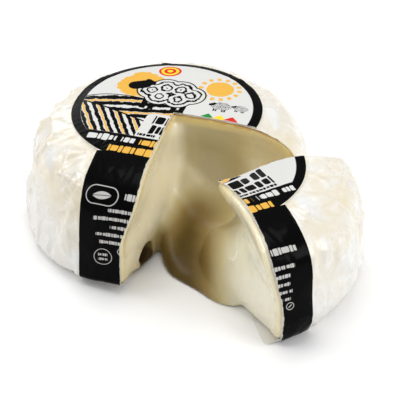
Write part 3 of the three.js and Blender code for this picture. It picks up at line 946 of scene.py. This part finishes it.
def blend(share, below, above):
    """A Mix node for colours. Below and above are colours or sockets."""
    below, above = (v if isinstance(v, bpy.types.NodeSocket) else (*v, 1) for v in (below, above))
    return node(share.tree, "Mix", {0: share, 6: below, 7: above}, data_type="RGBA").outputs[2]


def speckle(tree, vector, size, detail=2.0, roughness=0.5, distortion=0.0):
    """A noise texture, 0 to 1, with features of a size in millimetres on Object coordinates in metres."""
    inputs = {"Vector": vector, "Scale": 1 / (size * MM), "Detail": detail, "Roughness": roughness,
              "Distortion": distortion}
    return number(tree, "TexNoise", "Fac", inputs)


def split(tree, vector):
    """The parts of a vector as three Numbers."""
    return [Number(tree, part) for part in node(tree, "SeparateXYZ", {"Vector": vector}).outputs]


def bumped(tree, height, strength, distance):
    """The normal of a surface that a Bump node roughens by a height, to a distance in millimetres."""
    return node(tree, "Bump", {"Strength": strength, "Distance": distance * MM, "Height": height}).outputs["Normal"]


def colour(*levels):
    """A colour given in the 0 to 255 levels of a screen, as the light values that nodes use."""
    share = np.array(levels) / 255
    return tuple(np.where(share < 0.04045, share / 12.92, ((share + 0.055) / 1.055) ** 2.4))


def material(name, **values):
    """A new material with its Principled BSDF, whose constant sockets are set by name. Returns also its tree
    and the place of a point on the object."""
    made = bpy.data.materials.new(name)
    made.use_nodes = True
    shader = made.node_tree.nodes["Principled BSDF"]
    for key, value in values.items():
        shader.inputs[key.replace("_", " ")].default_value = value
    return made, made.node_tree, node(made.node_tree, "TexCoord").outputs["Object"]


def finish(made, pieces, **values):
    """Links Numbers, colours and normals to a material's shader, by socket name, and gives it to the pieces."""
    tree = made.node_tree
    for key, value in values.items():
        value = value.socket if isinstance(value, Number) else value
        tree.links.new(value, tree.nodes["Principled BSDF"].inputs[key.replace("_", " ")])
    for piece in pieces:
        piece.data.materials.clear()
        piece.data.materials.append(made)
    print(made.name, "has", len(tree.nodes), "nodes")


def new_group(name, inputs, outputs, formula):
    """Makes a node group. Inputs and outputs give the names and kinds of its sockets, and the formula turns
    the inputs, as Numbers, into the outputs. Returns a function that places the group in a tree."""
    group = bpy.data.node_groups.new(name, "ShaderNodeTree")
    for direction, sockets in (("INPUT", inputs), ("OUTPUT", outputs)):
        for key, kind in sockets.items():
            group.interface.new_socket(key, in_out=direction, socket_type="NodeSocket" + kind)
    given, result = group.nodes.new("NodeGroupInput").outputs, group.nodes.new("NodeGroupOutput").inputs
    for key, value in zip(outputs, formula(*(Number(group, given[key]) for key in inputs))):
        group.links.new(value.socket, result[key])
    print(name, "group has", len(group.nodes), "nodes")

    def placed(tree, *values):
        made = node(tree, "Group", dict(enumerate(values)), node_tree=group).outputs
        return [Number(tree, made[key]) for key in outputs]
    return placed


def crumpled(vector, size):
    """Facets with sharp creases between them, as thin sheets have. Height is the distance to the edges of bent
    cells of two sizes, less a ridged noise, and Crease is 1 on the creases of the larger cells."""
    tree, scale = size.tree, 1 / MM / size
    wobble = node(tree, "TexNoise", {"Vector": vector, "Scale": scale * 0.6}).outputs["Color"]
    push = node(tree, "VectorMath", {0: wobble, 1: (-0.5, -0.5, -0.5)}, operation="ADD").outputs[0]
    shift = node(tree, "VectorMath", {0: push, "Scale": 1.6 / scale}, operation="SCALE").outputs[0]
    bent = node(tree, "VectorMath", {0: vector, 1: shift}, operation="ADD").outputs[0]
    cells, small = (number(tree, "TexVoronoi", "Distance", {"Vector": bent, "Scale": value},
                           feature="DISTANCE_TO_EDGE") for value in (scale, scale * 2.3))
    ridges = number(tree, "TexNoise", "Fac", {"Vector": bent, "Scale": scale, "Detail": 1.0})
    return cells * 1.2 + small * 0.4 - abs(ridges - 0.5) * 1.3, ramp(cells, 0.0, 0.08, 1.0, 0.0)


crinkle = new_group("crinkle", {"Vector": "Vector", "Size": "Float"}, {"Height": "Float", "Crease": "Float"}, crumpled)

# %% [markdown]
# ## The paste's finish
#
# Ripe paste is wet and slightly clear: light goes in, spreads and comes out warmer. That is subsurface
# scattering under a smooth coat. Its colour follows the stored numbers. A thin amber line is the dried
# skin of the rind at the very edge, then comes the pale band, then cream that turns to olive and brown as
# the paste gets riper and where shade is painted: in the valley, in the cave and under the quarter's tip.

# %% Paste material
paste_finish, tree, here = material("ripe paste", Subsurface_Weight=0.3, Subsurface_Scale=0.005,
                                    Subsurface_Radius=(1.0, 0.74, 0.38), Coat_Roughness=0.04,
                                    Specular_IOR_Level=0.3, IOR=1.45)
depth, ripeness, gold = (number(tree, "Attribute", "Fac", attribute_name=name)
                         for name in ("rind_depth", "ripe", "golden"))
# The olive and brown stops of this ramp draw the riper paste and also the painted shade of the valley, the cave and the
# quarter's tip.
tones = node(tree, "ValToRGB", {"Fac": speckle(tree, here, 16, 3) * 0.14 + (ripeness - 0.07)})
stops = [(0.0, (246, 243, 228)), (0.12, (238, 233, 209)), (0.4, (198, 183, 135)), (0.65, (150, 126, 74)),
         (0.88, (100, 80, 30)), (1.0, (70, 50, 18))]
for index, (position, levels) in enumerate(stops):
    stop = tones.color_ramp.elements[index] if index < 2 else tones.color_ramp.elements.new(position)
    stop.position, stop.color = position, (*colour(*levels), 1)
wander = speckle(tree, here, 6, 2) * 2.4 + (depth - 1.2)
paste_colour = blend(ramp(wander, 3.4, 6.2, 0.6, 0.0), tones.outputs["Color"], colour(232, 216, 170))
paste_colour = blend(gold * 0.8, paste_colour, colour(240, 214, 138))
paste_colour = blend(ramp(wander, 0.4, 1.5, 0.8, 0.0) * ramp(gold, 0.5, 0.8), paste_colour, colour(206, 158, 84))
finish(paste_finish, [paste], Base_Color=paste_colour,
       Roughness=speckle(tree, here, 9, 3) * 0.16 + (ripeness * 0.3 + 0.16),
       Coat_Weight=ramp(ripeness, 0.06, 0.3, 0.9, 0.05),
       Normal=bumped(tree, speckle(tree, here, 7, 2) + speckle(tree, here, 1.6, 2) * 0.12, 0.35, 0.7))

# %% [markdown]
# ## The film's finish
#
# The film is milky, thin and pearly. On the upper half it clings to the rind, so cream patches show through
# it, and lower down, where it stands off, it looks whiter. The crinkle group gives it small facets on top of
# the modelled ones. On the upper half their low parts are painted cream as shade in the folds, and white
# lines along their creases are painted highlights, which a slow noise lets come and go.

# %% Film material
film_finish, tree, here = material("milky film", Subsurface_Weight=0.1, Subsurface_Scale=0.003,
                                   Subsurface_Radius=(1.0, 0.8, 0.6), Coat_Weight=0.5, Coat_Roughness=0.12)
coarse, coarse_crease = crinkle(tree, here, 19.0)
fine, fine_crease = crinkle(tree, here, 8.0)
upper = ramp(split(tree, here)[2], 0.012, 0.046, 0.3, 1.0)
patch = ramp(speckle(tree, here, 30, 3, 0.55, 0.6), 0.42, 0.66, 0.0, 0.85) * upper
film_colour = blend(patch, colour(240, 239, 236), colour(242, 231, 205))
# Painted shade: on the upper half the low parts of the coarse crinkle are tinted cream, as warm shade in the folds.
film_colour = blend(ramp(coarse, -0.1, 0.5, 0.65, 0.0) * upper, film_colour, colour(236, 222, 190))
# Painted highlights: white lines along the creases of the crinkle.
lines = calc("MAXIMUM", coarse_crease, fine_crease) * ramp(speckle(tree, here, 13, 1), 0.44, 0.64, 0.05, 0.6)
finish(film_finish, [wheel_film, quarter_film], Base_Color=blend(lines, film_colour, colour(250, 250, 248)),
       Roughness=speckle(tree, here, 8, 2) * 0.24 + 0.2, Normal=bumped(tree, fine * 0.2 + coarse, 0.65, 2.0))

# %% [markdown]
# ## The print on the label
#
# The print is drawn by nodes from the label coordinates. Every shape is a distance in millimetres from its
# outline, below 0 inside it, and a mask turns that into ink with a crisp edge. Shapes are laid over each
# other from the back to the front, like a lino print.

# %% Print helpers
print_finish, ink, here = material("printed label", Specular_IOR_Level=0.02, Coat_Weight=0.03, Coat_Roughness=0.12)
plane_uv, edge_uv = (node(ink, "UVMap", uv_map=layer).outputs["UV"] for layer in ("print", "edge"))
X, Y = (part * scale for part, scale in zip(split(ink, plane_uv), (UV_SCALE, -UV_SCALE)))
EDGE = split(ink, edge_uv)[0] * UV_SCALE
SOFT_EDGE = 0.12         # half the width, in mm, over which ink fades out


def length(a, b):
    """The length of a pair of Numbers."""
    return calc("SQRT", a * a + b * b)


def inside(*distances):
    """Where several shapes overlap: the greatest of their distances."""
    return reduce(lambda a, b: calc("MAXIMUM", a, b), distances)


def together(*distances):
    """Several shapes as one: the least of their distances."""
    return reduce(lambda a, b: calc("MINIMUM", a, b), distances)


def rounded(ex, ey, rounding):
    """Distance outside a rectangle with rounded corners, from how far a point passes its two half sizes."""
    ex, ey = ex + rounding, ey + rounding
    return length(calc("MAXIMUM", ex, 0.0), calc("MAXIMUM", ey, 0.0)) + calc("MINIMUM", inside(ex, ey), 0.0) - rounding


def shape(formula):
    """Makes a node group of a formula, with a socket for each of its numbers. Used above a function, it turns
    the function into one that places the group on the label, where x and y are the label coordinates."""
    inputs = dict.fromkeys(inspect.signature(formula).parameters, "Float")
    placed = new_group(formula.__name__, inputs, {"distance": "Float"}, lambda *values: [formula(*values)])
    return lambda *values: placed(ink, X, Y, *values)[0]


@shape
def disc(x, y, middle_x, middle_y, radius):
    """Distance outside a circle."""
    return length(x - middle_x, y - middle_y) - radius


@shape
def bar(x, y, middle_x, middle_y, half_width, half_height, turn, rounding):
    """Distance outside a bar with rounded corners, turned about its middle. The last two may be left out."""
    dx, dy, c, s = x - middle_x, y - middle_y, calc("COSINE", turn), calc("SINE", turn)
    return rounded(abs(dx * c + dy * s) - half_width, abs(dy * c - dx * s) - half_height, rounding)


@shape
def blocks(x, y, level, half_height, block, start, end, seed):
    """Distance outside a row of small blocks from a start to an end. The way along the row is counted in
    blocks and bent by a slow noise, so some are wide and some narrow, and their heights differ a little."""
    along = (x - start) / block
    slow = number(x.tree, "TexNoise", "Fac", {"W": along + seed, "Scale": 0.7, "Detail": 0.0}, noise_dimensions="1D")
    along = slow * 1.2 + along
    chance = number(x.tree, "TexWhiteNoise", "Value", {"W": calc("FLOOR", along) + seed}, noise_dimensions="1D")
    half = half_height * (chance * 0.3 + 0.72)
    block_shape = rounded((abs(calc("FRACT", along) - 0.5) - 0.41) * block, abs(y - level) - half, 0.3 * half_height)
    return inside(block_shape, start - x, x - end)


def stripes(value, period, share):
    """A distance that is below 0 in the first share of every period."""
    return abs((value + 1000 * period) % period - period * share / 2) - period * share / 2


def lay(below, distance, levels):
    """Lays a flat colour over what is there, inside a shape."""
    return blend(ramp(distance, -SOFT_EDGE, SOFT_EDGE, 1.0, 0.0), below, colour(*levels))


BLACK, WHITE, OCHRE, CREAM = (7, 7, 8), (216, 216, 213), (230, 178, 78), (238, 233, 214)
print("print helpers ready, label coordinates in mm")

# %% [markdown]
# ### The picture on the face
#
# A plain picture in black, white and ochre: a rayed sun and three sheep over two ploughed fields, with a
# round badge and a row of small lozenges in brighter inks. A field's furrows are a slanting coordinate, bent
# by a brush-like noise and cut into equal steps. Rows of small blocks fill the patch below it and the strip.

# %% Draw the face
FACE_WHITE, SEGMENT_LEVEL = 43.4, -29.5
SUN = 20.5, 24.0
FLEECE = (-3.3, 0.6, 2.5), (-1.2, 1.9, 2.6), (1.4, 1.9, 2.6), (3.5, 0.7, 2.5), (1.8, -0.9, 2.4), (-1.6, -0.9, 2.4)
brush = speckle(ink, plane_uv, 38, 4, 0.65) * 5.0 - 2.5
face = inside(disc(0, 0, FACE_WHITE), SEGMENT_LEVEL - Y)
art = lay(colour(*BLACK), face, WHITE)


def draw(art, distance, levels):
    """Lays a shape on the white face only."""
    return lay(art, inside(distance, face), levels)


art = draw(art, brush * 2.2 + bar(-20, 17, 11, 12, rad(-25), 9), OCHRE)
sun_angle = calc("ARCTAN2", Y - SUN[1], X - SUN[0]) * (14 / WHOLE_TURN)
from_sun = disc(*SUN, 0)
rays = inside(stripes(sun_angle, 1.0, 0.5), 8.6 - from_sun, from_sun - 11.2)
art = draw(art, together(brush * 0.35 + (from_sun - 7.2), rays), OCHRE)


def hill(x, top, radius, flat):
    """Distance above the line of a round hill: a flattened circle whose top is at a height."""
    return length(X - x, (Y - (top - radius * flat)) / flat) - radius


upper_field = hill(-20, 4.5, 42, 0.62)
lower_field = inside(upper_field, X * 0.3 + (Y + 17.5))
for field, slant, period, strip_width in ((upper_field, -0.22, 5.6, 0.6), (lower_field, 1.6, 6.8, 0.52)):
    furrow = X * slant + (brush * 0.9 + Y)
    art = draw(art, field, WHITE)
    art = draw(art, inside(field, stripes(furrow, period, strip_width)), BLACK)
    art = draw(art, inside(field, stripes(furrow - 0.66 * period, 2 * period, 0.14)), OCHRE)
    art = draw(art, abs(field) - 0.55, BLACK)
art = draw(art, bar(10, -19.5, 17, 12.5, 0.0, 4), WHITE)


def sheep(art, x, y, size):
    """A small sheep: legs, a fleece of six discs with a dark outline, and a dark head."""
    def at(dx, dy):
        return x + dx * size, y + dy * size
    legs = together(*(bar(*at(dx, -3.6), 0.5 * size, 1.6 * size) for dx in (-3.3, -1.9, 2.0, 3.4)))
    fleece = together(*(disc(*at(dx, dy), radius * size) for dx, dy, radius in FLEECE))
    head = bar(*at(-5.9, 1.6), 2.0 * size, 1.25 * size, rad(28), 1.2 * size)
    ear = bar(*at(-4.4, 3.0), 1.1 * size, 0.5 * size, rad(-30), 0.45 * size)
    curl = stripes(brush * 0.9 + fleece, 0.95 * size, 0.42)
    for shape, levels in ((together(legs, fleece - 0.26 * size), BLACK), (fleece, WHITE),
                          (inside(fleece + 0.25 * size, curl), BLACK), (together(head, ear), BLACK)):
        art = draw(art, shape, levels)
    return art


for x, y, size in ((-2.5, 11.5, 3.0), (26, 8.0, 0.85), (36, 9.0, 0.62)):
    art = sheep(art, x, y, size)
print("face drawn, ink tree has", len(ink.nodes), "nodes")

# %% Draw the badge, the lozenges and the rows of blocks
YELLOW, RED, GREEN, PALE = (247, 214, 60), (214, 48, 42), (38, 138, 66), (200, 198, 194)
badge = disc(-10, 34.2, 5.9)
for shrink, levels in ((0, RED), (1.2, YELLOW), (2.7, RED), (4.4, YELLOW)):
    art = lay(art, badge + shrink, levels)
for x, levels in ((22.0, GREEN), (28.3, YELLOW), (34.6, RED)):
    art = lay(art, bar(x, -3.0, 2.6, 2.6, rad(45), 0.5), levels)
ROWS = (  # middle height, half height, block width, start, end, ink
    (-12.6, 4.3, 4.4, -2.5, 24.5, BLACK), (-21.4, 4.1, 4.0, -1.5, 25.0, BLACK), (-27.2, 1.2, 1.9, -6.0, 25.0, BLACK),
    (-33.9, 2.6, 3.2, -29.8, -14.5, WHITE), (-33.9, 2.6, 3.2, -11.8, -5.0, WHITE), (-33.9, 2.6, 3.3, -2.4, 9.0, OCHRE),
    (-33.9, 2.6, 3.3, 11.6, 30.8, WHITE), (-41.6, 2.8, 3.5, -16.0, 15.8, OCHRE),
    (-69.8, 1.7, 2.5, 2.2, 14.8, PALE),
    (-77.2, 0.95, 1.5, -5.0, 12.2, PALE), (-81.4, 0.95, 1.5, -12.5, 9.0, PALE), (-85.6, 0.95, 1.6, -3.5, 8.6, PALE),
    (-89.8, 0.95, 1.5, -11.0, 9.6, PALE), (-94.0, 0.95, 1.5, -9.0, 8.6, PALE))
for row, (y, half_height, block, start, end, levels) in enumerate(ROWS):
    art = lay(art, blocks(y, half_height, block, start, end, 7.3 * row), levels)
oval = abs(bar(-9.5, -70.2, 8.4, 4.5, rad(-6), 4.4)) - 0.24
leaf = inside(disc(-9.5, -76.0, 7.6), disc(-9.5, -64.6, 7.6), 0.16 - abs(Y + 70.3))
art = lay(art, together(oval, leaf), PALE)
for x, y, radius in ((-7.1, -102.8, 4.7), (2.6, -98.6, 1.9), (8.2, -98.2, 1.9)):
    art = lay(art, abs(disc(x, y, radius)) - 0.18, PALE)
art = lay(art, together(blocks(-101.4, 0.8, 1.4, -9.6, -4.6, 3.0), blocks(-104.2, 0.8, 1.4, -9.6, -4.6, 9.0),
                        bar(2.6, -98.6, 0.2, 1.2), bar(8.2, -98.2, 1.0, 0.25, rad(40))), PALE)
art = lay(art, inside(FACE_RADIUS - 0.4 - length(X, Y), -44.5 - Y), CREAM)
art = lay(art, EDGE - (brush * 0.2 + 0.12), (236, 232, 220))
print("print drawn, ink tree has", len(ink.nodes), "nodes")

# %% [markdown]
# ### The label's surface
#
# The print has a satin face. The creases of the sheet under it show only as soft, slanting glints, and an
# upright streak in its roughness gives the black ink a little life.

# %% Finish the label
stretched = node(ink, "VectorMath", {0: here, 1: (1.0, 1.0, 0.22)}, operation="MULTIPLY").outputs[0]
streak = speckle(ink, stretched, 3.4, 3)
relief = streak * 0.5 + crinkle(ink, here, 9.0)[0] * 0.5
finish(print_finish, [wheel_label, quarter_label], Base_Color=art, Roughness=streak * 0.2 + 0.16,
       Normal=bumped(ink, relief, 0.5, 0.35))

# %% [markdown]
# ## Put the pieces together
#
# Each piece stands for one CAD node, whose part it hides, and rides on the only body there is. Faces are
# shaded smooth, apart from the sharp borders of the thin sheets.

# %% Ride and replace
SHARP_ANGLE = rad(50)
for piece, cad_node, slot in ((paste, "cheese", "paste"), (wheel_film, "wheel_film", "film"),
                              (quarter_film, "quarter_film", "film"), (wheel_label, "wheel_label", "label"),
                              (quarter_label, "quarter_label", "label")):
    piece.data.shade_smooth()
    if piece is not paste:
        piece.data.set_sharp_from_angle(angle=SHARP_ANGLE)
    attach(piece, "root")
    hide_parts(cad_node)
    say(piece)

# %% [markdown]
# ## Floor and light
#
# A white floor and large soft lights, as on a product photo. A lamp's power grows with the square of its
# distance, and its size sets how soft the shadows are. A narrow strip on the left draws the glints on the wet
# paste, a softbox on the right lights the quarter and the wheel's left face, a weak one behind the wheel draws
# a sheen on the crown, and one overhead whitens the floor. The world is kept low, so that black ink stays
# black.

# %% Floor, world and lamps
floor_mesh = bpy.data.meshes.new("floor")
floor_mesh.from_pydata([(-4, -4, 0), (4, -4, 0), (4, 4, 0), (-4, 4, 0)], [], [(0, 1, 2, 3)])
floor = bpy.data.objects.new("floor", floor_mesh)
bpy.context.scene.collection.objects.link(floor)
floor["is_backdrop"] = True
floor_finish, tree, here = material("pale floor", Roughness=0.8, Specular_IOR_Level=0.2)
finish(floor_finish, [floor], Base_Color=blend(speckle(tree, here, 4, 2), colour(250, 250, 250), colour(252, 252, 252)))

world = bpy.data.worlds.new("studio")
world.use_nodes = True
world.node_tree.nodes["Background"].inputs["Color"].default_value = (1.0, 1.0, 1.0, 1.0)
world.node_tree.nodes["Background"].inputs["Strength"].default_value = 0.42
bpy.context.scene.world = world


def lamp(name, at, aim, width, height, strength):
    """A flat lamp that lights a white, facing surface at its aim to the given brightness."""
    made = bpy.data.objects.new(name, bpy.data.lights.new(name, "AREA"))
    at, aim = Vector(at), Vector(aim)
    made.data.shape, made.data.size, made.data.size_y = "RECTANGLE", width, height
    made.data.energy = strength * np.pi ** 2 * (at - aim).length ** 2
    made.location = at
    made.rotation_euler = (aim - at).to_track_quat("-Z", "Y").to_euler()
    bpy.context.scene.collection.objects.link(made)
    print(name, "has", round(made.data.energy, 1), "W")


lamp("left strip", (-0.9, 0.17, 0.62), (0, -0.02, 0.03), 0.8, 0.1, 0.28)
lamp("right softbox", (0.95, -0.4, 0.7), (0, -0.02, 0.03), 0.6, 0.6, 0.4)
lamp("back softbox", (-0.45, 1.05, 0.6), (0, 0, 0.03), 0.5, 0.5, 0.14)
lamp("overhead softbox", (0.0, 0.25, 1.5), (0, 0, 0), 0.9, 0.9, 0.42)
bpy.context.scene.view_settings.view_transform = "Standard"

# %% [markdown]
# ## Measure and finish
#
# Both boxes are printed, so that they can be compared; the film may stand a little proud of the CAD
# model's box. The picture model has to stay inside the CAD model's box, apart from a little that film may
# stand proud.

# %% Print both boxes
low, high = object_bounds()
print("visual box in mm:", [round(value / MM, 1) for value in (*low, *high)])
